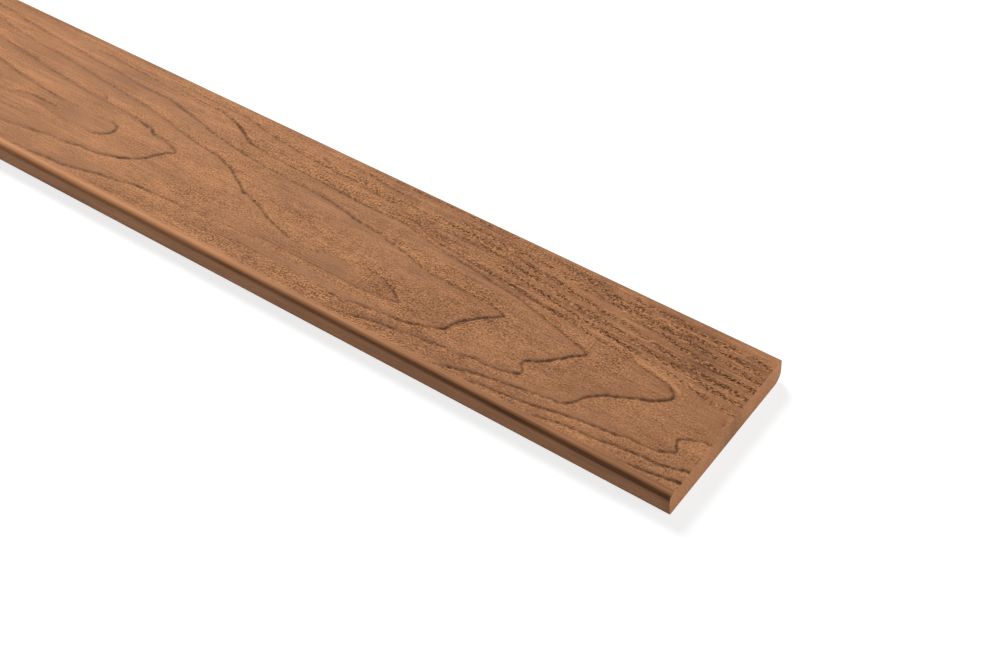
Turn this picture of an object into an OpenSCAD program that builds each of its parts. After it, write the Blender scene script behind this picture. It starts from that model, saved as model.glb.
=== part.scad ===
// Composite fence board: one solid extruded board, lying on its back with its grained face up.
// X runs along the board, Y from its front long edge to its rear one, and Z up through it.
// The origin is at the middle of the underside.
// The grain embossed in the upper face is fine relief and has no solids of its own.

/* [Board] */
// Length of the board, between its two saw cuts
board_l = 1828.8; // [300:0.1:4900]
// Width of the board, over its two long edges
board_w = 139.7; // [60:0.1:300]
// Thickness of the board
board_t = 19.05; // [17:0.05:50]

/* [Long edges] */
// Radius between the upper face and the front edge
front_top_r = 5.1; // [0.4:0.1:8]
// Radius between the underside and the front edge
front_bottom_r = 1.6; // [0.4:0.1:8]
// Radius between the upper face and the rear edge
rear_top_r = 0.8; // [0.4:0.1:8]
// Radius between the underside and the rear edge
rear_bottom_r = 8; // [0.4:0.1:8]

/* [Hidden] */
// How far a cutter reaches past the face that it cuts
cut_over = 1;
// Sides of a full circle
$fn = 96;

// What is cut away at a square corner at the origin, to leave it round with radius r
module corner_waste(r) {
    difference() {
        translate([-cut_over, -cut_over])
            square([cut_over + r, cut_over + r]);
        translate([r, r])
            circle(r);
    }
}

// Cross-section, with its width along X and its underside on the X axis
module section() {
    difference() {
        translate([-board_w / 2, 0])
            square([board_w, board_t]);
        translate([-board_w / 2, 0])
            corner_waste(front_bottom_r);
        translate([-board_w / 2, board_t])
            mirror([0, 1])
                corner_waste(front_top_r);
        translate([board_w / 2, 0])
            mirror([1, 0])
                corner_waste(rear_bottom_r);
        translate([board_w / 2, board_t])
            rotate(180)
                corner_waste(rear_top_r);
    }
}

// The whole board, drawn out along X from one saw cut to the other
module board() {
    color("#9a6d4d")
        translate([-board_l / 2, 0, 0])
            rotate([90, 0, 90])
                linear_extrude(height = board_l)
                    section();
}

board();
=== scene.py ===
"""The look of a composite fence board: brown wood-plastic with a grain embossed in its upper face.

The board's relief, sides and ends are one closed mesh that stands for the plain solid.
The grain is drawn in millimetres on the board's own face: "back" is the distance from the sawn
end that the photograph shows, and "up" is the distance across from the front long edge.
"""

import math

import bpy
import numpy as np
from mathutils import Matrix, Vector
from mathutils.geometry import delaunay_2d_cdt


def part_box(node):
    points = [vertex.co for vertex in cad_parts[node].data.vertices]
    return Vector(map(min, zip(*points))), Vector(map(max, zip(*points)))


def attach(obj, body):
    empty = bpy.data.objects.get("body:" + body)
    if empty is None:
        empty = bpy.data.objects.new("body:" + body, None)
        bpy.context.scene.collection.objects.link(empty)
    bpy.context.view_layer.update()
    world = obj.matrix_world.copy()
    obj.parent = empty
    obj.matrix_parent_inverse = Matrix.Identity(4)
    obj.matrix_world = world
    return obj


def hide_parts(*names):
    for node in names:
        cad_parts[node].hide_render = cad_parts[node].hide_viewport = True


# The four long edges of the section, in metres, as in the part's source
FRONT_TOP_R = 0.0051
FRONT_BOTTOM_R = 0.0016
REAR_TOP_R = 0.0008
REAR_BOTTOM_R = 0.008

# The grid on which the relief is worked out, in millimetres
CELL = 0.5
# How far a line of the grain is felt on either side of it, in millimetres
REACH = 14.0
# Beyond this distance from the sawn end the photograph shows nothing of the board
SEEN = 740.0

# Triangles of the upper face go where the relief is, most of them in the part that is seen
SEEN_POINTS = 71000
UNSEEN_POINTS = 20000
# Spacing of the rows of points along the long edges, and across the ends
EDGE_STEP = 10.0
END_STEP = 1.0

# Lines of the grain: points of (back, up, weight). Each arch comes from the far end along its
# upper side, turns at its tip and goes back along its lower side, so that the outside of the
# ring is always on its left. A weight of 1 is the boldest groove.
ARCHES = {
    "small": [
        (740, 79.5, 0.3), (700, 75.8, 0.5), (690, 74.5, 0.6), (678, 71.5, 0.7), (655, 70, 0.4),
        (637, 68, 0.6), (620, 67, 0.3), (590, 67, 0.1), (570, 69, 0.2), (562, 68.5, 0.7),
        (558, 66, 1.0), (556.7, 61.5, 1.0), (558, 57.5, 1.0), (563, 53.5, 0.8), (570, 50.3, 0.4),
        (585, 50.5, 0.15), (604, 49.5, 0.2), (632, 52.5, 0.2), (680, 49, 0.2), (720, 45, 0.1),
    ],
    "a_upper": [
        (740, 98.5, 0.3), (716, 96, 0.4), (700, 94.3, 0.4), (675, 91.5, 0.4), (655, 89, 0.4),
        (638, 87.3, 0.6), (605, 85, 0.35), (575, 83.5, 0.3), (556, 82.3, 0.4), (546, 81.7, 0.8),
        (540, 80.2, 0.9), (535.5, 78.3, 0.6),
    ],
    "a": [
        (536, 81, 0.4), (533, 79.3, 1.0), (530.5, 77, 1.0), (527, 75.5, 0.8), (520, 75, 0.5),
        (512, 74.8, 0.6), (505, 72.5, 0.6), (497, 69.5, 0.6), (500, 67.3, 0.8), (504, 65, 1.0),
        (507, 60.5, 1.0), (510, 57.3, 0.9), (512.5, 53, 1.0), (516, 49.7, 0.8), (521, 46, 0.7),
        (526, 43.8, 1.0), (532, 41, 0.9), (540, 38, 0.8), (552, 35.5, 0.5), (566, 34, 0.7),
        (576, 32, 0.6), (590, 30.5, 0.3), (600, 30.8, 0.5), (606, 28.5, 0.3), (611, 27.4, 0.6),
        (625, 25.5, 0.3), (640, 23, 0.2), (670, 19, 0.15), (720, 13, 0.15),
    ],
    "g": [
        (740, 114, 0.3), (727, 111.3, 0.5), (710, 110, 0.4), (685, 107.7, 0.3), (660, 107, 0.4),
        (635, 104.7, 0.4), (610, 102.5, 0.4), (590, 100.5, 0.4), (560, 98, 0.4), (530, 93.5, 0.5),
        (515, 90.5, 0.5), (495, 87.3, 0.6), (475, 85.3, 0.6), (465, 84, 0.7), (455, 81, 0.7),
        (447, 78.3, 0.9), (438, 73.5, 0.9), (430, 69, 1.0), (423, 64.7, 0.9), (415, 63.3, 0.6),
        (408, 61.3, 0.9), (400, 58.5, 0.5), (389, 53.5, 0.7), (380, 51, 0.7), (369, 48, 0.8),
        (358, 45.3, 0.4), (340, 45.3, 0.2), (318, 50, 0.2), (300, 53.5, 0.2), (289, 52.7, 0.4),
        (281, 51.8, 0.4), (275, 51.5, 0.6), (269, 48.5, 0.7), (262.5, 45.5, 0.9),
        (257, 42.5, 0.6), (252, 39.7, 0.6), (257, 37, 0.3), (270, 36, 0.2), (300, 34, 0.3),
        (340, 34.5, 0.3), (370, 34.5, 0.3), (392, 32, 0.3), (420, 30, 0.2), (440, 28.7, 0.3),
        (452, 28, 0.5), (463, 27.3, 0.7), (476, 26.5, 0.5), (490, 26, 0.7), (499, 25.3, 0.9),
        (506, 23.2, 0.4), (513, 21.3, 0.4), (522, 20.2, 0.7), (532, 19.2, 0.6), (543, 15.8, 0.6),
        (555, 13, 0.6), (566, 11.2, 0.6), (583, 9.7, 0.5), (600, 8.3, 0.5), (620, 7.6, 0.4),
        (650, 7, 0.1),
    ],
    "k": [
        (740, 126.5, 0.4), (722, 124, 0.6), (705, 122.8, 0.5), (680, 121, 0.4), (655, 119, 0.4),
        (635, 118, 0.5), (605, 116.5, 0.4), (590, 115.3, 0.4), (570, 114, 0.6), (545, 114, 0.6),
        (538, 112.8, 0.8), (528, 110.8, 0.7), (515, 108, 0.6), (500, 105.3, 0.5), (495, 104, 0.7),
        (480, 101, 0.5), (465, 99, 0.6), (450, 97.3, 0.8), (438, 96, 0.5), (418, 94.7, 0.5),
        (400, 94, 0.5), (378, 94, 0.5), (362, 93.2, 0.7), (352, 92, 0.7), (343, 90.5, 0.7),
        (336, 88.7, 0.7), (325, 87.7, 0.7), (306, 85.5, 0.6), (292, 82.7, 0.6), (280, 81, 0.5),
        (269, 78, 0.7), (262, 76, 0.5), (250, 74, 0.5), (235, 73.7, 0.5), (215, 73.5, 0.5),
        (198, 72.7, 0.5), (188, 71.3, 0.5), (181, 69.8, 1.0), (184, 67.3, 1.0), (188, 63.8, 0.9),
        (192, 61, 1.0), (196, 57.5, 1.0), (199, 54, 1.0), (203.5, 50, 1.0), (206, 47, 0.9),
        (208, 41.5, 1.0), (209, 37.5, 1.0), (213, 35.2, 0.8), (218, 33, 0.7), (225, 31, 0.8),
        (231, 28.5, 0.9), (237, 26.5, 0.7), (243, 25.7, 0.8), (250, 25.8, 0.6), (258, 25, 0.4),
        (269, 22.8, 0.7), (277, 22, 0.6), (287, 20, 0.4), (296, 19.3, 0.7), (310, 20.3, 0.4),
        (345, 21.3, 0.3), (390, 22, 0.3), (420, 18, 0.3), (450, 15, 0.2), (490, 12, 0.2),
        (540, 6.5, 0.1),
    ],
    "b": [
        (740, 137, 0.1), (640, 133, 0.2), (560, 128, 0.3), (530, 126, 0.4), (510, 125, 0.5),
        (498, 125, 0.5), (488, 123, 0.6), (479, 120.5, 0.9), (469.5, 116.5, 1.0),
        (463, 113, 1.0), (457, 110, 1.0), (451, 108.8, 0.6), (437, 107.7, 0.4), (415, 106.5, 0.5),
        (375, 105.3, 0.6), (350, 104.5, 0.8), (325, 103.7, 0.6), (300, 104.7, 0.5),
        (290, 103.3, 0.5), (278, 100.5, 0.5), (262, 97.7, 0.6), (235, 95.3, 0.6),
        (222, 93.7, 0.6), (213, 92.2, 0.8), (205, 91.5, 0.6), (190, 90, 0.5), (178, 88, 0.6),
        (165, 84.5, 0.6), (150, 81.5, 0.6), (138, 79, 0.6), (128, 76.3, 0.7), (118, 74, 0.6),
        (112.3, 71.3, 1.0), (115, 69, 0.8), (119, 66.3, 1.0), (122.5, 62, 1.0), (126, 58.5, 1.0),
        (130.5, 54.3, 1.0), (135, 50, 1.0), (139.5, 46.8, 0.9), (143.5, 45, 1.0),
        (146.5, 42.7, 1.0), (145.5, 39.7, 0.9), (141.5, 35.7, 0.8), (140, 33.3, 0.8),
        (143, 31.3, 0.9), (149, 29.3, 0.8), (155, 27.5, 0.6), (163, 26.2, 0.5), (175, 26.3, 0.7),
        (185, 24, 0.5), (194, 23.2, 0.2), (205, 22.7, 0.7), (213, 20.7, 0.7), (222, 20.5, 0.4),
        (232, 18.3, 0.5), (243, 17, 0.8), (253, 15.7, 0.7), (262, 14.2, 0.8), (270, 12.3, 0.6),
        (279, 10.5, 0.3), (286, 8.5, 0.4), (293, 6, 0.5),
    ],
    "c": [
        (300, 110.5, 0.3), (291, 110.5, 0.7), (280, 106, 0.3), (268, 102.3, 0.7),
        (255, 101.3, 0.6), (241, 100.3, 0.6), (228, 98.3, 0.6), (212, 98, 0.5), (200, 97.3, 0.5),
        (185, 95.5, 0.5), (165, 93, 0.6), (150, 91.8, 0.6), (130, 88.5, 0.4), (100, 86, 0.3),
        (85, 84, 0.4), (72, 82.2, 0.6), (60, 80.3, 0.5), (52, 78.7, 0.5), (46, 76, 0.9),
        (43, 73, 1.0), (42.5, 71, 1.0), (44.5, 68.3, 1.0), (48, 64.7, 0.9), (52, 61.8, 1.0),
        (60, 58.3, 1.0), (69, 54.5, 0.9), (76, 50.8, 1.0), (80, 48.8, 1.0), (84.5, 46.7, 1.0),
        (88.5, 43, 1.0), (93, 38.5, 1.0), (94.5, 34.5, 0.9), (96.5, 31.3, 0.8),
        (100.5, 27.7, 0.9), (104, 25.8, 0.7), (110, 25.3, 0.5), (118, 24.2, 0.5),
        (125, 23.3, 0.5), (131, 22.2, 0.7), (138, 20.6, 0.8), (144, 19.6, 0.7), (150, 19.5, 0.7),
        (157, 17.5, 0.6), (168, 15.3, 0.9), (175, 14, 0.7), (182, 11.7, 0.9), (190, 9, 0.7),
        (197, 6.8, 0.5), (202, 6, 0.2),
    ],
    "e": [
        (-3, 51, 0.6), (3, 50.5, 0.8), (7, 49.7, 0.6), (11, 48.3, 0.6), (17, 46, 0.7),
        (20.5, 44, 1.0), (21.7, 41.7, 1.0), (20, 38.7, 0.8), (16.5, 34.8, 0.7), (15.5, 33, 0.8),
        (19, 30.8, 0.9), (24, 28.8, 1.0), (29, 27.7, 0.6), (36, 26.2, 0.4), (46, 26.3, 0.7),
        (52, 25.6, 0.5), (57, 24, 0.9), (63, 23.3, 0.8), (77, 21.8, 0.6), (84, 20.7, 0.6),
        (92, 19.8, 0.9), (98, 18.8, 0.8), (104, 17.3, 0.8), (112, 15.7, 0.8), (119, 13.8, 0.8),
        (126, 13, 0.6), (134, 12.3, 0.7), (146, 10.7, 0.7), (156, 9.7, 0.6), (163, 8.5, 0.5),
        (169, 6.5, 0.6),
    ],
    "edge_1": [
        (-3, 24.5, 0.5), (3, 23.3, 0.9), (9, 21.5, 0.9), (16, 19.7, 0.8), (22, 18.3, 0.9),
        (30, 18, 0.7), (38, 17.6, 0.8), (47, 16.3, 0.8), (60, 15, 0.7), (72, 13.4, 0.7),
        (85, 12.2, 0.6), (95, 11.2, 0.8), (101, 9.8, 0.6), (108, 8.2, 0.6), (117, 6.3, 0.5),
    ],
    "edge_2": [
        (-3, 13.5, 1.0), (5, 12.8, 1.0), (10, 12, 0.9), (17, 10.4, 0.8), (23, 9.6, 0.9),
        (30, 8.9, 0.8), (38, 7.7, 0.5), (46, 6.7, 0.4), (58, 5.8, 0.4),
    ],
}

# Short lines and dark flecks, in the same form
SHORT_LINES = [
    [(668, 51, 0.3), (656, 56, 0.5), (645, 58, 0.6), (632, 58, 0.6), (618, 58.4, 0.3)],
    [(594, 90, 0.3), (592, 88.5, 0.6), (589, 86, 0.3)],
    [(162, 32, 0.3), (155, 33, 0.5), (148, 34, 0.3)],
    [(22, 17.5, 0.4), (23.5, 15.2, 0.4), (28, 14, 0.3), (33, 13.8, 0.2)],
    [(396, 127, 0.5), (392, 126, 0.7), (386, 125.8, 0.3)],
    [(3.6, 74, 0.2), (3, 71, 0.6), (2.4, 68, 0.3)],
    [(340, 136.8, 0.2), (310, 136.3, 0.4), (275, 136.8, 0.2), (245, 136.2, 0.4), (215, 136.8, 0.3)],
    [(640, 129, 0.3), (620, 128.3, 0.5), (595, 126.5, 0.4), (565, 125, 0.4), (540, 123.5, 0.4),
     (528, 124, 0.4), (515, 122.5, 0.4), (498, 121.5, 0.3)],
    [(560, 132, 0.2), (530, 131.5, 0.4), (500, 131.2, 0.3), (480, 131, 0.4), (468, 129, 0.5),
     (455, 126.7, 0.5), (443, 124.8, 0.7), (430, 123.5, 0.5), (415, 121.7, 0.6),
     (400, 121, 0.4), (385, 121, 0.6), (375, 120.3, 0.6), (355, 119.5, 0.4), (342, 118.5, 0.6),
     (325, 117, 0.3), (300, 115.7, 0.3), (270, 114.5, 0.3), (255, 115.5, 0.4)],
    [(400, 132.7, 0.2), (352, 131.5, 0.5), (340, 130.3, 0.5), (328, 129.5, 0.6),
     (318, 128.7, 0.5), (300, 128.3, 0.2)],
]

# Rows of rough dashes along the rear of the face, in the same form
ROUGH_ROWS = [
    [(262, 129.7, 0.6), (250, 129, 0.6), (243, 128.8, 0.6), (232, 127, 0.8), (215, 126.3, 0.8),
     (200, 126.8, 0.4), (184, 126, 1.0), (176, 125.5, 0.5), (165, 125, 0.5), (150, 124, 0.7),
     (138, 123, 0.7), (125, 121.5, 0.5), (112, 119, 0.7), (102, 118.5, 0.7), (90, 116.5, 0.6),
     (80, 115.5, 0.8), (72, 113.8, 0.8), (60, 111, 0.7), (50, 110, 0.7), (44, 109, 0.9),
     (35, 108.3, 0.8), (26, 107, 0.9), (12, 106, 0.8), (-3, 105, 0.9)],
    [(170, 131.5, 0.5), (155, 130.7, 0.7), (143, 129.7, 0.6), (130, 128.5, 0.6),
     (122, 128, 0.8), (112, 128, 0.9), (104, 127.3, 0.9), (98, 127, 0.8), (90, 126.3, 0.9),
     (78, 126, 0.9), (65, 125.5, 0.8), (55, 124.5, 0.7), (40, 124, 0.6), (25, 122.7, 0.9),
     (15, 121, 0.9), (8, 119.8, 0.9), (-3, 119, 1.0)],
    [(132, 126, 0.3), (123, 125, 0.6), (112, 123.2, 0.7), (100, 122.3, 0.8), (88, 121.5, 0.8),
     (78, 121, 0.7), (70, 120, 0.8), (56, 119, 1.0), (48, 118.2, 1.0), (38, 117.3, 0.9),
     (30, 117, 0.9), (22, 115.5, 0.6), (14, 114.7, 0.7), (8, 113.3, 1.0), (-3, 111.5, 0.9)],
    [(112, 133, 0.4), (98, 132.5, 0.6), (78, 132.5, 0.6), (66, 131.5, 0.5), (56, 130.8, 0.8),
     (46, 130, 0.9), (33, 129.8, 0.7), (22, 129.7, 0.5), (14, 129, 1.0), (3, 128.5, 1.0),
     (-3, 128.3, 0.8)],
    [(286, 124, 0.5), (270, 123, 0.5), (264, 122.7, 1.0), (255, 122.3, 0.8), (243, 121.8, 0.9),
     (230, 121, 1.0), (215, 121.3, 0.9), (203, 120.3, 0.7), (196, 119, 1.0), (184, 118.5, 1.0),
     (175, 118, 0.8), (166, 116.7, 1.0), (160, 117, 0.7), (152, 113.8, 0.7), (143, 113.3, 0.8),
     (132, 111.5, 0.9), (123, 110.5, 0.9), (112, 110.8, 0.9), (105, 109.8, 0.6),
     (95, 108, 0.5), (86, 105.5, 0.5), (78, 104.2, 0.9), (70, 103.3, 0.9), (62, 102.3, 0.6),
     (52, 100.7, 0.7), (44, 101, 0.8), (38, 99.7, 0.9), (28, 98.5, 1.0), (20, 98, 0.8),
     (12, 97, 0.7), (-3, 96, 0.6)],
    [(240, 118, 0.6), (228, 116.5, 0.8), (215, 115.3, 0.8), (205, 113.8, 0.8),
     (195, 112.5, 0.8), (180, 111, 0.5), (165, 109, 0.4), (159, 107.5, 0.9), (150, 104.7, 0.6),
     (140, 105, 0.8), (128, 104.8, 0.9), (118, 103.2, 0.8), (110, 102.8, 0.7), (98, 100.5, 0.5),
     (88, 98.5, 0.5), (75, 96, 0.5), (65, 95.2, 0.8), (57, 95.3, 0.9), (50, 94.5, 0.9),
     (44, 93.8, 0.7), (38, 93, 0.9), (30, 92, 0.7), (22, 91, 0.9), (10, 90, 0.6), (-3, 89.5, 0.4)],
    [(216, 107.5, 0.8), (207, 107, 0.7), (197, 105.5, 0.7), (187, 103.7, 0.9), (178, 103, 0.9),
     (168, 101.3, 0.8), (160, 99.7, 1.0), (150, 99, 0.5), (140, 97.7, 0.6), (128, 96.3, 0.6),
     (118, 95.5, 0.8), (111, 94.7, 1.0), (104, 93, 1.0), (98, 92, 1.0), (91, 91.5, 1.0),
     (82, 91.5, 0.5)],
    [(232, 101, 0.4), (222, 98.5, 0.8), (212, 98, 0.8), (200, 97.5, 1.0), (190, 96.7, 0.8),
     (178, 94.5, 0.6), (168, 92.8, 0.7), (155, 91.3, 0.8), (145, 92.3, 0.7), (133, 91, 0.3),
     (120, 88, 0.4), (108, 86, 0.5), (95, 87, 0.5), (85, 86.3, 0.5)],
    [(78, 90, 0.4), (66, 88.8, 0.7), (56, 88.5, 0.9), (47, 87, 0.8), (42, 86, 0.7),
     (30, 84, 0.6), (20, 82.5, 0.6), (10, 81, 0.5), (-3, 79, 0.3)],
    [(132, 100.5, 0.3), (120, 100, 0.4), (112, 100, 0.5), (100, 101, 0.4), (88, 98.5, 0.5)],
    [(196, 134.5, 0.1), (170, 134.2, 0.2), (150, 134.6, 0.1), (128, 135, 0.2), (104, 136.2, 0.1)],
]

# Low smooth ridges, in the same form; their tone carries a painted highlight
RIDGES = [
    [(85, 86, 0.3), (72, 84.3, 0.6), (55, 81.7, 0.9), (45, 78.8, 1.0), (40.5, 76, 0.6)],
    [(60, 90, 0.3), (42, 87, 0.7), (22, 83, 1.0), (2, 80, 1.0), (-3, 79.5, 1.0)],
]

# Where the long lines of the grain are heading at the far end of the board: up towards the rear
REAR_LINE_UP = 137.0
RISE_LENGTH = 420.0
# Soft patches of the face: (back, up, half length, half width, change of tone, change of stipple)
PATCHES = [
    (315, 44, 17, 6, -0.3, -0.5), (270, 43, 13, 6, -0.5, 0.4), (415, 14, 115, 7, -0.14, 0.5),
    (289, 45, 7, 8, 0.15, 0.3), (350, 122, 65, 5, 0.15, 0.7), (360, 110, 60, 3.5, 0.15, 0.6),
    (330, 26, 75, 5, -0.35, -0.4), (325, 33, 75, 1.6, 0.5, 0.0), (340, 21, 50, 1.5, 0.5, 0.2),
    (93, 72, 8, 8, 0.1, 0.6), (450, 43, 20, 7, 0.0, 0.6), (322, 14, 22, 4, 0.6, 0.35),
    (6, 67, 9, 9, -0.35, -0.4), (365, 63, 40, 12, 0.2, 0.35),
    (650, 138, 110, 2.2, -0.8, 0.0), (240, 136.8, 70, 1.5, -0.6, 0.0),
    (40, 134.6, 65, 1.7, 0.6, 0.0),
]
# The stretch of the rough rows, whose face between them is smooth, with fine lengthwise lines:
# its middle (back) and half length, and the (up) at which it starts
ROWS_STRETCH = (60, 230, 80)

# Tips of the arches in the stretch that the photograph doesn't show, as (back, up)
LATER_TIPS = [(868, 66), (1002, 74), (1140, 61), (1262, 70), (1405, 64), (1560, 72), (1690, 60)]
# The lower side of such an arch, as steps of (back, up, weight) from its tip
LATER_FLANK = [
    (3, -3, 0.9), (11, -12, 1.0), (20, -20, 1.0), (27, -28, 1.0), (31, -34, 0.9), (45, -38, 0.7),
    (75, -43, 0.6), (110, -48, 0.6), (150, -53, 0.5), (185, -58, 0.4),
]
# Rough rows of that stretch: the first and last (back), the lowest (up), and how many
LATER_ROWS = (1080, 1430, 94.0, 7)

# The darker middle of the sawn ends: its place across the board and its spread, in metres
CUT_MIDDLE = 0.006
CUT_SPREAD = 0.016

# Camera, fitted to the outline of the board in a picture 1000 pixels wide
PICTURE_WIDE = 1000
FOCAL_PIXELS = 1821.0
SENSOR_MM = 36.0
CAMERA_PITCH = math.radians(47.5)
CAMERA_YAW = math.radians(-40.1)
CAMERA_ROLL = math.radians(-5.11)
# Place of the camera from the lower front corner of the sawn end, in board widths
CAMERA_FROM_CORNER = (2.683, -4.277, 6.799)


def carry_on(points, board_end):
    """A line that reaches the edge of the photograph, led on towards the rear of the board."""
    first_back, first_up, weight = points[0]
    if first_back < SEEN:
        return points
    added = []
    for back in np.arange(first_back + 60, board_end + 60, 60):
        share = math.exp(-(back - first_back) / RISE_LENGTH)
        up = REAR_LINE_UP - (REAR_LINE_UP - first_up) * share + 1.2 * math.sin(back / 71 + first_up)
        added.append((back, up, weight))
    return added[::-1] + points


def later_arch(tip, board_end):
    """An arch of the unseen stretch, built by the rule that the seen ones follow."""
    tip_back, tip_up = tip
    points = []
    for away in np.arange(30, board_end - tip_back + 60, 60):
        up = REAR_LINE_UP - (REAR_LINE_UP - tip_up) * math.exp(-away / RISE_LENGTH)
        points.append((tip_back + away, up + 1.5 * math.sin(away / 53 + tip_up), 0.5))
    points.reverse()
    points.append((tip_back, tip_up, 0.9))
    for step_back, step_up, weight in LATER_FLANK:
        scale = tip_up / 66.0
        points.append((tip_back + step_back, tip_up + step_up * scale, weight))
    return points


def later_rows():
    """Rough rows of the unseen stretch, side by side along the rear of the face."""
    first, last, lowest, count = LATER_ROWS
    rows = []
    for row in range(count):
        points = []
        for back in np.arange(first + 13 * row, last + 9 * row, 18):
            up = lowest + 5.2 * row + 0.045 * (back - first) + 0.9 * math.sin(back / 23 + row)
            points.append((back, up, 0.55 + 0.35 * math.sin(back / 17 + 2 * row)))
        rows.append([p for p in points if p[1] < 133][::-1])
    return [row for row in rows if len(row) > 3]


def smooth_path(points, step=1.0, rounding=1.6):
    """The line through the points, resampled at an even step with its corners eased."""
    points = np.array(points, float)
    along = np.concatenate([[0], np.cumsum(np.hypot(*np.diff(points[:, :2], axis=0).T))])
    fine = np.arange(0, along[-1], step)
    path = np.stack([np.interp(fine, along, points[:, k]) for k in range(3)], 1)
    half = int(3 * rounding / step)
    kernel = np.exp(-0.5 * (np.arange(-half, half + 1) * step / rounding) ** 2)
    kernel /= kernel.sum()
    padded = np.concatenate([np.repeat(path[:1], half, 0), path, np.repeat(path[-1:], half, 0)])
    return np.stack([np.convolve(padded[:, k], kernel, "valid") for k in range(3)], 1)


def soft_noise(shape, along, across, seed):
    """Smooth random field on the grid, with those sizes in millimetres and a spread of one."""
    field = np.random.default_rng(seed).standard_normal(shape)
    fy = np.fft.fftfreq(shape[0], CELL)[:, None]
    fx = np.fft.rfftfreq(shape[1], CELL)[None, :]
    blur = np.exp(-2 * math.pi**2 * ((fx * along) ** 2 + (fy * across) ** 2))
    field = np.fft.irfft2(np.fft.rfft2(field) * blur, shape)
    return field / field.std()


class Grain:
    """What the lines of the grain say at each cell of the grid over the upper face."""

    def __init__(self, length, width):
        self.shape = (int(width / CELL) + 1, int(length / CELL) + 1)
        self.outside = np.full(self.shape, 99.0)
        self.inside = np.full(self.shape, 99.0)
        self.groove = np.zeros(self.shape)
        self.pits = np.zeros(self.shape)
        self.beads = np.zeros(self.shape)
        self.rough = np.zeros(self.shape)
        self.ridge = np.zeros(self.shape)

    def window(self, back, up, reach):
        """The cells near a point, and how far each one is from it along and across the board."""
        rows, columns = self.shape
        low_r = max(int((up - reach) / CELL), 0)
        high_r = max(min(int((up + reach) / CELL) + 1, rows), low_r)
        low_c = max(int((back - reach) / CELL), 0)
        high_c = max(min(int((back + reach) / CELL) + 1, columns), low_c)
        to_up = (np.arange(low_r, high_r) * CELL - up)[:, None]
        to_back = (np.arange(low_c, high_c) * CELL - back)[None, :]
        return (slice(low_r, high_r), slice(low_c, high_c)), to_back, to_up

    def draw(self, points, seed):
        """Presses one line into the face."""
        rng = np.random.default_rng(seed)
        path = smooth_path(points)
        path[:, 1] += 0.22 * uneven(rng, len(path), 4)
        dashes = np.clip(0.95 + 0.2 * uneven(rng, len(path), 2), 0, 1.2)
        for (back, up, weight), (d_back, d_up), dash in zip(path, headings(path), dashes):
            cells, to_back, to_up = self.window(back, up, REACH)
            away = np.hypot(to_up, to_back)
            left = d_up * to_back - d_back * to_up > 0
            cut = weight * dash * np.exp(-(away / (0.55 + 0.7 * weight * dash)) ** 3)
            np.maximum(self.groove[cells], cut, out=self.groove[cells])
            away = away + 3 * (1 - min(weight * 2, 1))
            outer = np.where(left, away, 99.0)
            np.minimum(self.outside[cells], outer, out=self.outside[cells])
            inner = np.where(left, 99.0, away)
            np.minimum(self.inside[cells], inner, out=self.inside[cells])

    def draw_chain(self, points, seed):
        """Presses one rough row into the face: a chain of pits with beads raised between them."""
        rng = np.random.default_rng(seed)
        path = smooth_path(points, 0.5)
        path[:, 2] = path[:, 2].clip(0, 1) ** 0.7 * (1 - 0.3 * ramp(path[:, 0], 150, 260))
        path[:, 1] += 0.3 * uneven(rng, len(path), 14)
        strength = np.clip(1.0 + 0.3 * uneven(rng, len(path), 26), 0.4, 1.3)
        turns = headings(path)
        for (back, up, weight), strong in zip(path[::2], strength[::2]):
            cells, to_back, to_up = self.window(back, up, 5)
            near = weight * strong * np.exp(-(to_up**2 + to_back**2) / 1.9**2)
            np.maximum(self.rough[cells], near, out=self.rough[cells])
        place = 1
        while place < len(path) - 6:
            back, up, weight = path[place]
            press = weight * strength[place] * rng.uniform(0.8, 1.4)
            long = rng.uniform(0.8, 1.3) if rng.random() < 0.6 else rng.uniform(1.5, 3.0)
            across = rng.normal(0.0, 0.65)
            self.dab(self.pits, back, up + across, turns[place], long, 0.85, press)
            gap = int((long + rng.uniform(0.7, 1.3)) / 0.5)
            middle = min(place + gap // 2 + 1, len(path) - 1)
            back, up, weight = path[middle]
            press = weight * strength[middle] * rng.uniform(0.7, 1.4)
            side = rng.choice([-1.0, 1.0]) * rng.uniform(0.4, 1.7)
            self.dab(self.beads, back, up + side, turns[middle], 1.1, 0.85, press)
            place += gap + 1

    def draw_ridge(self, points):
        """Raises one low smooth ridge."""
        for back, up, weight in smooth_path(points):
            cells, to_back, to_up = self.window(back, up, 6)
            high = weight * np.exp(-(to_up**2 + to_back**2) / 1.3**2)
            np.maximum(self.ridge[cells], high, out=self.ridge[cells])

    def dab(self, field, back, up, heading, long, wide, press):
        """One oval spot, longer along its row."""
        cells, to_back, to_up = self.window(back, up, 5)
        ahead = heading[0] * to_back + heading[1] * to_up
        aside = heading[1] * to_back - heading[0] * to_up
        spot = press * np.exp(-(ahead / long) ** 2 - (aside / wide) ** 2)
        np.maximum(field[cells], spot, out=field[cells])


def uneven(rng, count, beat):
    """Random values of about one, eased over that many steps."""
    stops = np.arange(0, count + beat, beat)
    return np.interp(np.arange(count), stops, rng.standard_normal(len(stops)))


def headings(path):
    """The unit direction of a line at each of its points."""
    turns = np.gradient(path[:, :2], axis=0)
    return turns / (np.hypot(*turns.T)[:, None] + 1e-9)


def ramp(value, low, high):
    """0 below low, 1 above high, and smooth between them."""
    share = np.clip((value - low) / (high - low), 0, 1)
    return share * share * (3 - 2 * share)


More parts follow.
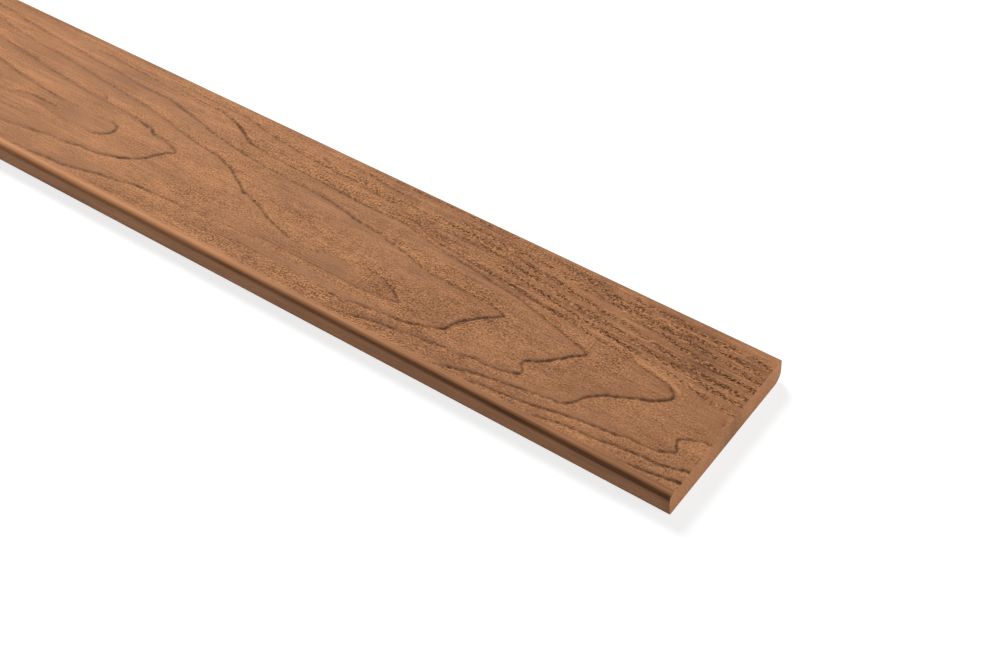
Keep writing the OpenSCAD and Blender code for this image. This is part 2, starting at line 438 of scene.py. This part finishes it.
def edge_tone_with_painted_light(angle, back):
    """Tone of the smooth front edge, where angle goes from 0 on the face to 90 on the side.

    The rounding carries a painted highlight over its shoulder and a painted shade just below it.
    """
    # Painted highlight over the shoulder of the rounding, stronger further from the sawn end
    pale = 0.5 + 1.1 * ramp(back, 0, 450) + 0.5 * ramp(back, 350, 480)
    # Painted shade just below the shoulder, lower on the rounding further from the sawn end
    painted_shade = -0.5 + 0.8 * ramp(back, 50, 450)
    turn = 25 * ramp(back, 250, 480)
    tone = pale + (painted_shade - pale) * ramp(angle, 22 + turn, 56 + turn)
    tone = tone + (0.5 - tone) * ramp(angle, 78, 94)
    # The flat strip beside the rounding keeps less of the painted highlight
    return tone - 0.75 * (1 - ramp(angle, 0, 10))


def make_grain(length, width):
    """The relief of the upper face in millimetres, and the maps that its colour follows."""
    grain = Grain(length, width)
    lines = [carry_on(points, length) for points in ARCHES.values()]
    lines += [later_arch(tip, length) for tip in LATER_TIPS]
    for number, points in enumerate(lines + SHORT_LINES):
        grain.draw(points, 100 + number)
    for number, points in enumerate(ROUGH_ROWS + later_rows()):
        grain.draw_chain(points, 300 + number)
    for points in RIDGES:
        grain.draw_ridge(points)
    shape = grain.shape
    beads = soft_noise(shape, 0.6, 0.45, 1)
    pores = soft_noise(shape, 3.0, 0.45, 2)
    swell = soft_noise(shape, 25, 6, 3)
    lines = soft_noise(shape, 16, 0.5, 4)
    outer = np.exp(-grain.outside / 6.0)
    inner = np.exp(-grain.inside / 4.0)
    up = np.arange(shape[0])[:, None] * CELL
    back = np.arange(shape[1])[None, :] * CELL
    tone_change = np.zeros(shape)
    stipple_change = np.zeros(shape)
    for mid_back, mid_up, half_long, half_wide, tone, rise in PATCHES:
        spot = np.exp(-((back - mid_back) / half_long) ** 2 - ((up - mid_up) / half_wide) ** 2)
        tone_change += tone * spot
        stipple_change += rise * spot
    sides = (0.5 - 0.2 * ramp(back, 250, 400) + 0.2 * ramp(back, 480, 640)) * (outer - inner)
    stipple = np.clip(0.62 + sides + 0.12 * swell + stipple_change, 0.15, 1.3)
    stipple *= 0.77 + 0.55 * np.exp(-((back - 250) / 130) ** 2)
    stipple *= 1 - 0.55 * np.exp(-((back - 650) / 110) ** 2)
    mid_back, half_long, start_up = ROWS_STRETCH
    rows_stretch = np.exp(-((back - mid_back) / half_long) ** 4) * ramp(up, start_up, start_up + 15)
    stipple *= 1 - 0.35 * rows_stretch
    relief = -0.67 * grain.groove - 0.4 * grain.pits + 0.26 * grain.beads + 0.3 * grain.ridge
    relief += (0.05 * stipple + 0.07 * grain.rough) * beads
    relief += 0.03 * pores + 0.07 * lines * rows_stretch
    relief += 0.05 * swell - 0.08 * np.exp(-grain.outside / 2.5)
    flat = ramp(up, FRONT_TOP_R * 1000 + 0.2, FRONT_TOP_R * 1000 + 3) * ramp(width - up, 0.8, 1.6)
    relief = np.clip(relief - 0.16, -1.1, 0) * flat
    tone = 0.5 + sides + 0.06 * swell + tone_change
    beside = np.minimum(grain.outside, grain.inside)
    tone -= 0.36 * np.exp(-(beside / 2.0) ** 2) * ramp(back, 420, 600)
    # Painted highlight: the raised beads and ridges are painted paler on top of their relief
    tone += 1.8 * grain.beads + 1.0 * grain.ridge + (0.38 * lines - 0.26) * rows_stretch
    # Painted shade: the face is darker towards its rear edge and far from the sawn end
    tone -= 0.08 * ramp(up, 70, 100) + 0.3 * ramp(back, 460, 680)
    # The smooth front strip takes the painted highlight of the front edge
    smooth_tone_with_painted_light = np.where(up < width / 2, edge_tone_with_painted_light(0, back), 0.1)
    return {
        "relief": relief,
        "groove": np.clip(grain.groove * flat, 0, 1),
        "rows": np.clip(np.maximum(0.7 * grain.rough, grain.pits) * flat, 0, 1),
        "stipple": np.clip(stipple - 0.5 * grain.ridge, 0, 1.5) * flat,
        "tone": tone * flat + smooth_tone_with_painted_light * (1 - flat),
    }


def sample(field, back, up):
    """The field at points given in millimetres, blended between its four nearest cells."""
    r = np.clip(up / CELL, 0, field.shape[0] - 1.001)
    c = np.clip(back / CELL, 0, field.shape[1] - 1.001)
    r0, c0 = r.astype(int), c.astype(int)
    fr, fc = r - r0, c - c0
    top = field[r0 + 1, c0] * (1 - fc) + field[r0 + 1, c0 + 1] * fc
    low = field[r0, c0] * (1 - fc) + field[r0, c0 + 1] * fc
    return low * (1 - fr) + top * fr


def spread_points(relief, low_up, high_up, length):
    """Points of the upper face, close together where the relief bends, by error diffusion."""
    bend = np.abs(np.gradient(np.gradient(relief, axis=0), axis=0))
    bend += np.abs(np.gradient(np.gradient(relief, axis=1), axis=1))
    soft = bend.copy()
    for axis in (0, 1):
        soft = (np.roll(soft, 1, axis) + 2 * soft + np.roll(soft, -1, axis)) / 4
    want = np.sqrt(soft) + 0.02
    want = want * (1 - 0.35 * ramp(np.arange(relief.shape[1])[None, :] * CELL, 250, 600))
    up = np.arange(relief.shape[0])[:, None] * CELL
    back = np.arange(relief.shape[1])[None, :] * CELL
    want = want * ((up > low_up + 0.7) & (up < high_up - 0.7)) * ((back > 0.7) & (back < length - 0.7))
    seen = back < SEEN
    for part, count in ((seen, SEEN_POINTS), (~seen, UNSEEN_POINTS)):
        scale = count / (want * part).sum()
        for _ in range(4):
            scale *= count / np.minimum(want * part * scale, 0.95).sum()
        want = np.where(part, np.minimum(want * scale, 0.95), want)
    chosen = []
    carried = [0.0] * (relief.shape[1] + 2)
    for row, values in enumerate(want.tolist()):
        below = [0.0] * (relief.shape[1] + 2)
        columns = range(len(values))
        step = 1
        if row % 2:
            columns = reversed(columns)
            step = -1
        ahead = 0.0
        for column in columns:
            value = values[column] + carried[column + 1] + ahead
            if value > 0.5 and values[column] > 0:
                chosen.append((column * CELL, row * CELL))
                value -= 1.0
            ahead = value * 0.4375
            below[column + 1 - step] += value * 0.1875
            below[column + 1] += value * 0.3125
            below[column + 1 + step] += value * 0.0625
        carried = below
    return np.array(chosen)


def even_stops(length, step):
    """Evenly spaced stops from 0 to length, both ends included."""
    return np.linspace(0, length, int(round(length / step)) + 1)


def arc(centre, radius, start, end, count):
    """Points of an arc of the section, as (up, high), from one angle in degrees to another."""
    angles = np.radians(np.linspace(start, end, count + 1))
    return [(centre[0] + radius * math.cos(a), centre[1] + radius * math.sin(a)) for a in angles]


def section_outline(width, thick):
    """The section from the rear edge of the upper face, round underneath, to the front one."""
    rt, rb = REAR_TOP_R, REAR_BOTTOM_R
    fb, ft = FRONT_BOTTOM_R, FRONT_TOP_R
    outline = arc((width - rt, thick - rt), rt, 90, 0, 3)
    outline += arc((width - rb, rb), rb, 0, -90, 8)
    outline += [(up, 0.0) for up in np.linspace(width - rb, fb, 8)[1:-1]]
    outline += arc((fb, fb), fb, 270, 180, 3)
    outline += arc((ft, thick - ft), ft, 180, 90, 12)
    return outline


def board_mesh(low, high):
    """The whole board as one closed mesh, with its grain in relief and its maps as attributes."""
    length, width, thick = (high - low)
    maps = make_grain(length * 1000, width * 1000)
    front = FRONT_TOP_R * 1000
    rear = (width - REAR_TOP_R) * 1000
    long_mm = length * 1000

    stops = even_stops(long_mm, EDGE_STEP)
    across = even_stops(rear - front, END_STEP)[1:-1] + front
    inner = spread_points(maps["relief"], front, rear, long_mm)
    flat = np.concatenate([
        np.stack([stops, np.full_like(stops, front)], 1),
        np.stack([stops, np.full_like(stops, rear)], 1),
        np.stack([np.zeros_like(across), across], 1),
        np.stack([np.full_like(across, long_mm), across], 1),
        inner,
    ])
    _, _, faces, origins, _, _ = delaunay_2d_cdt([tuple(p) for p in flat], [], [], 0, 1e-6, True)
    order = np.array([group[0] for group in origins])
    faces = [tuple(order[list(face)]) for face in faces]

    places = np.zeros((len(flat), 3))
    places[:, 0] = high.x - flat[:, 0] / 1000
    places[:, 1] = low.y + flat[:, 1] / 1000
    places[:, 2] = high.z + sample(maps["relief"], flat[:, 0], flat[:, 1]) / 1000
    edge = (flat[:, 1] <= front) | (flat[:, 1] >= rear)
    places[edge, 2] = high.z

    outline = section_outline(width, thick)
    count = len(stops)
    rings = [list(range(count, 2 * count))]
    vertices = [tuple(p) for p in places]
    for up, tall in outline[1:-1]:
        rings.append(list(range(len(vertices), len(vertices) + count)))
        vertices += [(high.x - s / 1000, low.y + up, low.z + tall) for s in stops]
    rings.append(list(range(count)))
    for one, two in zip(rings, rings[1:]):
        faces += [(one[i], one[i + 1], two[i + 1], two[i]) for i in range(count - 1)]

    first = 2 * count
    near_end = [r[0] for r in rings] + list(range(first, first + len(across)))
    first += len(across)
    far_end = [r[-1] for r in rings] + list(range(first, first + len(across)))
    ends = (tuple(near_end), tuple(reversed(far_end)))
    faces += list(ends)

    mesh = bpy.data.meshes.new("board_relief")
    mesh.from_pydata(vertices, [], faces)
    mesh.update()
    placed = (np.array(vertices) - np.array((high.x, low.y, high.z))) * 1000
    angle = np.degrees(np.arctan2(front - placed[:, 1], placed[:, 2] + front))
    # The front rounding takes the painted highlight and shade of the front edge; the rest of the section a
    # plain tone
    smooth_tone_with_painted_light = np.where(placed[:, 1] > front, 0.1, edge_tone_with_painted_light(angle, -placed[:, 0]))
    for name in ("groove", "rows", "stipple", "tone"):
        values = smooth_tone_with_painted_light if name == "tone" else np.zeros(len(vertices))
        values[:len(flat)] = sample(maps[name], flat[:, 0], flat[:, 1])
        values = values.astype(np.float32)
        mesh.attributes.new(name, "FLOAT", "POINT").data.foreach_set("value", values)
    smooth = np.ones(len(faces), bool)
    smooth[-2:] = False
    mesh.polygons.foreach_set("use_smooth", smooth)
    end_vertices = set(near_end) | set(far_end)
    sharp = mesh.attributes.new("sharp_edge", "BOOLEAN", "EDGE")
    flags = [e.vertices[0] in end_vertices and e.vertices[1] in end_vertices for e in mesh.edges]
    sharp.data.foreach_set("value", flags)
    return mesh


class Nodes:
    """A short way to write a material's nodes."""

    def __init__(self, material):
        material.use_nodes = True
        self.tree = material.node_tree
        self.tree.nodes.clear()

    def add(self, kind, **values):
        node = self.tree.nodes.new(kind)
        for name, value in values.items():
            setattr(node, name, value)
        return node

    def link(self, source, target):
        self.tree.links.new(source, target)

    def math(self, operation, first, second):
        node = self.add("ShaderNodeMath", operation=operation)
        for socket, value in zip(node.inputs, (first, second)):
            if isinstance(value, (int, float)):
                socket.default_value = value
            else:
                self.link(value, socket)
        return node.outputs[0]

    def attribute(self, name):
        return self.add("ShaderNodeAttribute", attribute_name=name).outputs["Fac"]

    def noise(self, scale, stretch=(1, 1, 1), detail=2.0):
        place = self.add("ShaderNodeTexCoord")
        shift = self.add("ShaderNodeMapping")
        shift.inputs["Scale"].default_value = stretch
        self.link(place.outputs["Object"], shift.inputs["Vector"])
        noise = self.add("ShaderNodeTexNoise")
        noise.inputs["Scale"].default_value = scale
        noise.inputs["Detail"].default_value = detail
        self.link(shift.outputs[0], noise.inputs["Vector"])
        return noise.outputs["Fac"]

    def mix(self, share, first, second):
        node = self.add("ShaderNodeMix", data_type="RGBA")
        for socket, value in ((node.inputs[0], share), (node.inputs[6], first), (node.inputs[7], second)):
            if isinstance(value, (int, float, tuple)):
                socket.default_value = value
            else:
                self.link(value, socket)
        return node.outputs[2]


def linear(red, green, blue):
    """A colour written as it looks on screen, 0 to 255, as the shader's linear one."""
    values = []
    for value in (red, green, blue):
        value /= 255
        values.append(value / 12.92 if value <= 0.04045 else ((value + 0.055) / 1.055) ** 2.4)
    return (*values, 1.0)


def composite_material(saw_plane):
    """Brown wood-plastic: dull, darker in its grooves, with painted shade and highlight on its fine bumps."""
    material = bpy.data.materials.new("composite")
    nodes = Nodes(material)
    shader = nodes.add("ShaderNodeBsdfPrincipled")
    output = nodes.add("ShaderNodeOutputMaterial")
    nodes.link(shader.outputs[0], output.inputs[0])

    dark = linear(118, 78, 50)
    light = linear(204, 143, 98)
    place = nodes.add("ShaderNodeTexCoord")
    along = nodes.add("ShaderNodeSeparateXYZ")
    nodes.link(place.outputs["Object"], along.inputs[0])
    distance = nodes.math("ABSOLUTE", along.outputs[0], 0.0)
    sawn = nodes.math("GREATER_THAN", distance, saw_plane)
    face = nodes.math("SUBTRACT", 1.0, sawn)
    # The tone carries the face's own colour and also painted highlight and shade: front edge, beads, ridges,
    # rear and far end
    tone = nodes.math("MULTIPLY", nodes.attribute("tone"), face)
    middle = nodes.math("MULTIPLY", nodes.math("SUBTRACT", along.outputs[1], CUT_MIDDLE), 1 / CUT_SPREAD)
    middle = nodes.math("POWER", math.e, nodes.math("MULTIPLY", middle, nodes.math("MULTIPLY", middle, -1.0)))
    cut_tone = nodes.math("SUBTRACT", 1.0, nodes.math("MULTIPLY", middle, 0.8))
    tone = nodes.math("ADD", tone, nodes.math("MULTIPLY", sawn, cut_tone))
    relief = nodes.math("MULTIPLY", nodes.attribute("stipple"), face)
    relief = nodes.math("ADD", relief, nodes.math("MULTIPLY", sawn, 0.25))
    cloud = nodes.noise(18, (1, 4, 4), 3)
    grit = nodes.noise(680, (1, 1, 1), 2)
    streak = nodes.noise(170, (0.08, 5, 5), 3)
    rows = nodes.math("MULTIPLY", nodes.attribute("rows"), face)
    # Fine bumps of the rough rows, which feed the bump and also the painted shade and highlight
    row_bumps_and_painted_shade = nodes.math("SUBTRACT", nodes.noise(820, (0.55, 1.25, 1.25), 2), 0.5)
    row_bumps_and_painted_shade = nodes.math("MULTIPLY", row_bumps_and_painted_shade, rows)
    # Fine bumps of the whole face, used for the bump below and for the colour
    pits_and_painted_shade = nodes.math("MULTIPLY", nodes.math("SUBTRACT", grit, 0.5), relief)
    pits_and_painted_shade = nodes.math("ADD", pits_and_painted_shade, nodes.math("MULTIPLY", row_bumps_and_painted_shade, 3.0))
    share = nodes.math("MULTIPLY", tone, 0.35)
    share = nodes.math("ADD", share, 0.36)
    share = nodes.math("ADD", share, nodes.math("MULTIPLY", nodes.math("SUBTRACT", cloud, 0.5), 0.6))
    # Painted shade and highlight: the colour follows the fine bumps, darker in their hollows and paler on
    # their tops
    share = nodes.math("ADD", share, nodes.math("MULTIPLY", pits_and_painted_shade, 2.4))
    mottle = nodes.math("SUBTRACT", nodes.noise(170, (0.6, 1, 1), 2), 0.5)
    share = nodes.math("ADD", share, nodes.math("MULTIPLY", mottle, nodes.math("MULTIPLY", relief, 0.7)))
    share = nodes.math("ADD", share, nodes.math("MULTIPLY", nodes.math("SUBTRACT", streak, 0.5), 0.6))
    colour = nodes.mix(share, dark, light)
    pressed = nodes.math("MULTIPLY", nodes.attribute("groove"), face)
    pressed = nodes.math("MULTIPLY", pressed, 0.84)
    # Painted shade in the pits of the rough rows: darker over the rows, most where their fine bumps are low
    row_dashes_painted_shade = nodes.math("MULTIPLY", rows, 0.22)
    row_dashes_painted_shade = nodes.math("SUBTRACT", row_dashes_painted_shade, nodes.math("MULTIPLY", row_bumps_and_painted_shade, 4.3))
    row_dashes_painted_shade = nodes.math("MINIMUM", row_dashes_painted_shade, 0.36)
    pressed = nodes.math("MAXIMUM", pressed, row_dashes_painted_shade)
    # The grooves and the painted shade of the rows take the dark brown
    colour = nodes.mix(pressed, colour, linear(70, 45, 29))
    nodes.link(colour, shader.inputs["Base Color"])

    rough = nodes.math("ADD", nodes.math("MULTIPLY", grit, 0.2), 0.5)
    nodes.link(rough, shader.inputs["Roughness"])
    shader.inputs["Specular IOR Level"].default_value = 0.1

    fine = nodes.math("MULTIPLY", nodes.math("SUBTRACT", streak, 0.5), 0.2)
    height = nodes.math("ADD", pits_and_painted_shade, fine)
    bump = nodes.add("ShaderNodeBump")
    bump.inputs["Strength"].default_value = 1.0
    bump.inputs["Distance"].default_value = 0.0016
    nodes.link(height, bump.inputs["Height"])
    nodes.link(bump.outputs[0], shader.inputs["Normal"])
    return material


def make_board():
    """The board's visible piece, which stands for the plain solid."""
    low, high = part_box("board")
    piece = bpy.data.objects.new("board_grained", board_mesh(low, high))
    bpy.context.scene.collection.objects.link(piece)
    piece.data.materials.append(composite_material(high.x - 0.00002))
    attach(piece, "root")
    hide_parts("board")
    return piece


def floor_material():
    """White to the camera, with the board's shadow kept, and plain white paper to the lamps."""
    material = bpy.data.materials.new("floor_white")
    nodes = Nodes(material)
    output = nodes.add("ShaderNodeOutputMaterial")
    paper = nodes.add("ShaderNodeBsdfDiffuse")
    paper.inputs["Color"].default_value = (0.6, 0.6, 0.6, 1)
    shaded = nodes.add("ShaderNodeBsdfDiffuse")
    shaded.inputs["Color"].default_value = (0.3, 0.3, 0.3, 1)
    glow = nodes.add("ShaderNodeEmission")
    glow.inputs["Color"].default_value = (1, 1, 1, 1)
    glow.inputs["Strength"].default_value = 0.8
    seen = nodes.add("ShaderNodeAddShader")
    nodes.link(shaded.outputs[0], seen.inputs[0])
    nodes.link(glow.outputs[0], seen.inputs[1])
    path = nodes.add("ShaderNodeLightPath")
    choose = nodes.add("ShaderNodeMixShader")
    direct = nodes.math("MAXIMUM", path.outputs["Is Camera Ray"], path.outputs["Is Glossy Ray"])
    nodes.link(direct, choose.inputs[0])
    nodes.link(paper.outputs[0], choose.inputs[1])
    nodes.link(seen.outputs[0], choose.inputs[2])
    nodes.link(choose.outputs[0], output.inputs[0])
    return material


def make_floor():
    """A level white floor under the board."""
    half = 12.0
    mesh = bpy.data.meshes.new("floor")
    corners = [(-half, -half, 0), (half, -half, 0), (half, half, 0), (-half, half, 0)]
    mesh.from_pydata(corners, [], [(0, 1, 2, 3)])
    floor = bpy.data.objects.new("floor", mesh)
    bpy.context.scene.collection.objects.link(floor)
    mesh.materials.append(floor_material())


def area_lamp(name, place, aim, size, power):
    """A square soft box at a place, turned towards a point."""
    lamp = bpy.data.lights.new(name, "AREA")
    lamp.size = size
    lamp.energy = power
    holder = bpy.data.objects.new(name, lamp)
    bpy.context.scene.collection.objects.link(holder)
    holder.location = place
    direction = np.array(aim, float) - np.array(place, float)
    forward = direction / np.linalg.norm(direction)
    side = np.cross(forward, (0.0, 0.0, 1.0))
    if np.linalg.norm(side) < 1e-6:
        side = np.array((1.0, 0.0, 0.0))
    side /= np.linalg.norm(side)
    above = np.cross(side, forward)
    holder.matrix_world = axes_matrix(side, above, -forward, place)


def table_lamp(low, power):
    """The glow of the white table in front of the board, which lights its front edge from below."""
    lamp = bpy.data.lights.new("table_glow", "AREA")
    lamp.shape = "RECTANGLE"
    lamp.size = 2 * abs(low.x)
    lamp.size_y = 0.035
    lamp.energy = power
    holder = bpy.data.objects.new("table_glow", lamp)
    bpy.context.scene.collection.objects.link(holder)
    place = (0.0, low.y - 0.001 - lamp.size_y / 2, 0.0005)
    holder.matrix_world = axes_matrix((1, 0, 0), (0, -1, 0), (0, 0, -1), place)
    holder.visible_camera = False


def axes_matrix(right, above, behind, place):
    """A placing from three axes and an origin."""
    matrix = Matrix.Identity(4)
    for column, axis in enumerate((right, above, behind, place)):
        for row in range(3):
            matrix[row][column] = axis[row]
    return matrix


def make_light(low, high):
    """Soft boxes from behind and above, a fill on the sawn end, and a pale room."""
    end = high.x
    area_lamp("key", (end - 1.39, 0.95, 1.52), (end - 0.4, 0, 0), 0.7, 55)
    area_lamp("end_fill", (end + 1.2, 0.15, 0.36), (end, 0, 0), 0.5, 9.2)
    table_lamp(low, 0.11)
    world = bpy.data.worlds.new("room")
    bpy.context.scene.world = world
    nodes = Nodes(world)
    output = nodes.add("ShaderNodeOutputWorld")
    ambient = nodes.add("ShaderNodeBackground")
    ambient.inputs["Color"].default_value = (1, 1, 1, 1)
    ambient.inputs["Strength"].default_value = 0.03
    white = nodes.add("ShaderNodeBackground")
    white.inputs["Color"].default_value = (1, 1, 1, 1)
    white.inputs["Strength"].default_value = 0.8
    path = nodes.add("ShaderNodeLightPath")
    choose = nodes.add("ShaderNodeMixShader")
    nodes.link(path.outputs["Is Camera Ray"], choose.inputs[0])
    nodes.link(ambient.outputs[0], choose.inputs[1])
    nodes.link(white.outputs[0], choose.inputs[2])
    nodes.link(choose.outputs[0], output.inputs[0])


def make_camera(low, high):
    """The photograph's view: from the front right, above the sawn end."""
    width = high.y - low.y
    corner = (high.x, low.y, low.z)
    place = [c + width * step for c, step in zip(corner, CAMERA_FROM_CORNER)]
    forward = np.array((
        math.sin(CAMERA_YAW) * math.cos(CAMERA_PITCH),
        math.cos(CAMERA_YAW) * math.cos(CAMERA_PITCH),
        -math.sin(CAMERA_PITCH),
    ))
    level = np.array((math.cos(CAMERA_YAW), -math.sin(CAMERA_YAW), 0.0))
    upright = np.cross(level, forward)
    right = level * math.cos(CAMERA_ROLL) + upright * math.sin(CAMERA_ROLL)
    above = upright * math.cos(CAMERA_ROLL) - level * math.sin(CAMERA_ROLL)
    camera = bpy.data.cameras.new("camera")
    camera.sensor_width = SENSOR_MM
    camera.lens = SENSOR_MM * FOCAL_PIXELS / PICTURE_WIDE
    holder = bpy.data.objects.new("camera", camera)
    bpy.context.scene.collection.objects.link(holder)
    holder.matrix_world = axes_matrix(right, above, -forward, place)
    bpy.context.scene.camera = holder


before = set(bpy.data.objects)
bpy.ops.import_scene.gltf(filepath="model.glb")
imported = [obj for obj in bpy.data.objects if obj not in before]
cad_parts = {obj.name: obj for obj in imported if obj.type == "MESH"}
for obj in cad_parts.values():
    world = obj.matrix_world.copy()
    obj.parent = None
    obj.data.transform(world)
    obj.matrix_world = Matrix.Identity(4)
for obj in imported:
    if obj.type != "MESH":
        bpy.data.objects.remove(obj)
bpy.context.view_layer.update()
board_low, board_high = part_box("board")
make_camera(board_low, board_high)
make_board()
make_floor()
make_light(board_low, board_high)
bpy.context.scene.view_settings.view_transform = "Standard"
